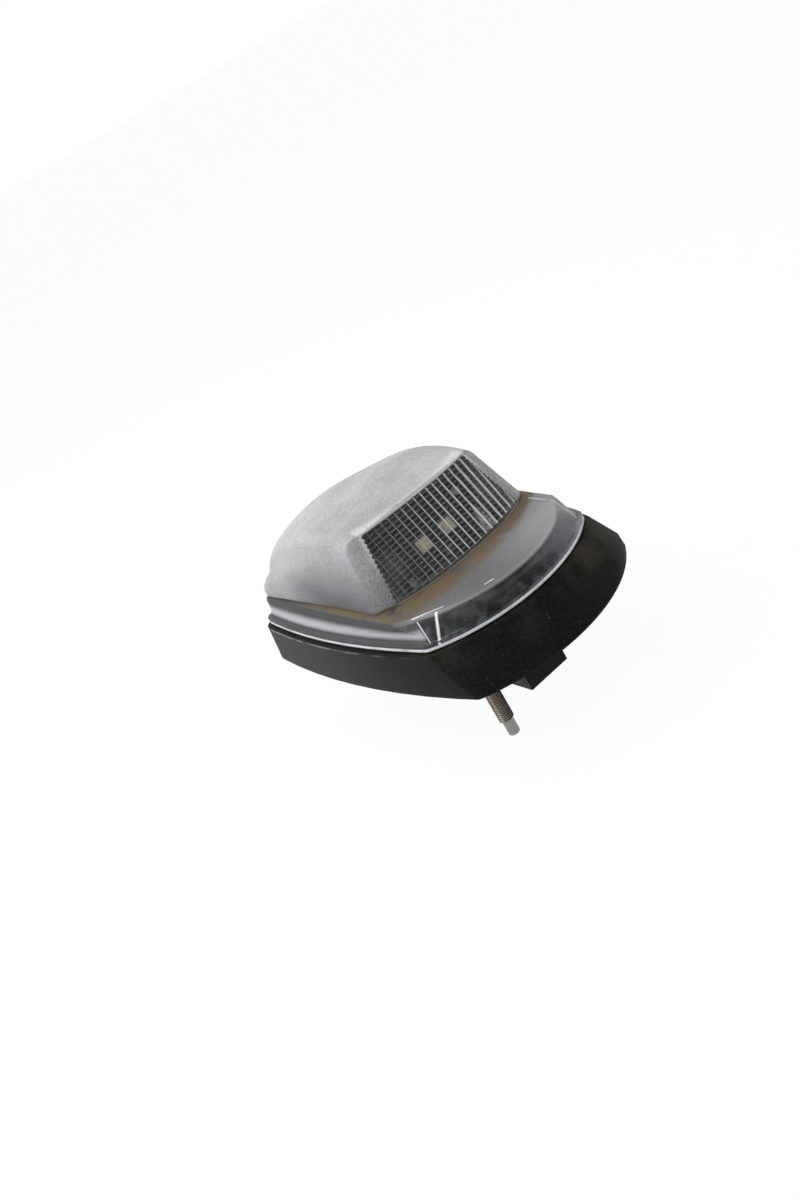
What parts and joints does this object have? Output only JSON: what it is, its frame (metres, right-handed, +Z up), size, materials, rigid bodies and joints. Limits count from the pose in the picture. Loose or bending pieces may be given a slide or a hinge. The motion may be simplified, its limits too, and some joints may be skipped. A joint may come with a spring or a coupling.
{
  "type": "roof marker light",
  "caption": "Truck cab roof marker light: a frosted lens with a fluted clear window on a black base, with two studs and a plug socket below.",
  "frame": {"origin": "on the roof face, in the middle plane of the lens, 65 mm behind the front of the base", "axes": "+Z up from the roof, -Y out of the window towards the front of the truck, +X to the right as seen from the front"},
  "size_m": [0.1036, 0.153, 0.0879],
  "materials": {
    "lens": "frosted and clear polycarbonate",
    "base_plastic": "black grained plastic",
    "seal_rubber": "soft black rubber",
    "gasket_foam": "closed-cell foam",
    "stud_steel": "dull zinc-plated steel",
    "carrier_plastic": "black plastic",
    "board": "dark solder mask",
    "emitter": "pale resin package",
    "chip_black": "black component body",
    "capacitor_body": "brown ceramic",
    "screw_steel": "plated steel",
    "lead_red": "red insulation",
    "lead_black": "black insulation",
    "socket_plastic": "black plastic",
    "terminal_brass": "tinned brass",
    "socket_lock_plastic": "dark grey plastic",
    "vent_plastic": "dark grey plastic"
  },
  "bodies": {
    "root": {"lens_cover": "lens", "base_housing": "base_plastic", "lens_seal": "seal_rubber", "roof_gasket": "gasket_foam", "front_stud": "stud_steel", "rear_stud": "stud_steel", "board_carrier": "carrier_plastic", "led_board": "board", "left_emitter": "emitter", "right_emitter": "emitter", "left_resistor": "chip_black", "right_resistor": "chip_black", "polarity_diode": "chip_black", "surge_diode": "chip_black", "filter_capacitor": "capacitor_body", "board_screws": "screw_steel", "carrier_screws": "screw_steel", "power_lead": "lead_red", "ground_lead": "lead_black", "socket_shell": "socket_plastic", "socket_seal": "seal_rubber", "power_terminal": "terminal_brass", "ground_terminal": "terminal_brass", "socket_lock": "socket_lock_plastic", "vent_plug": "vent_plastic"}
  },
  "joints": []
}
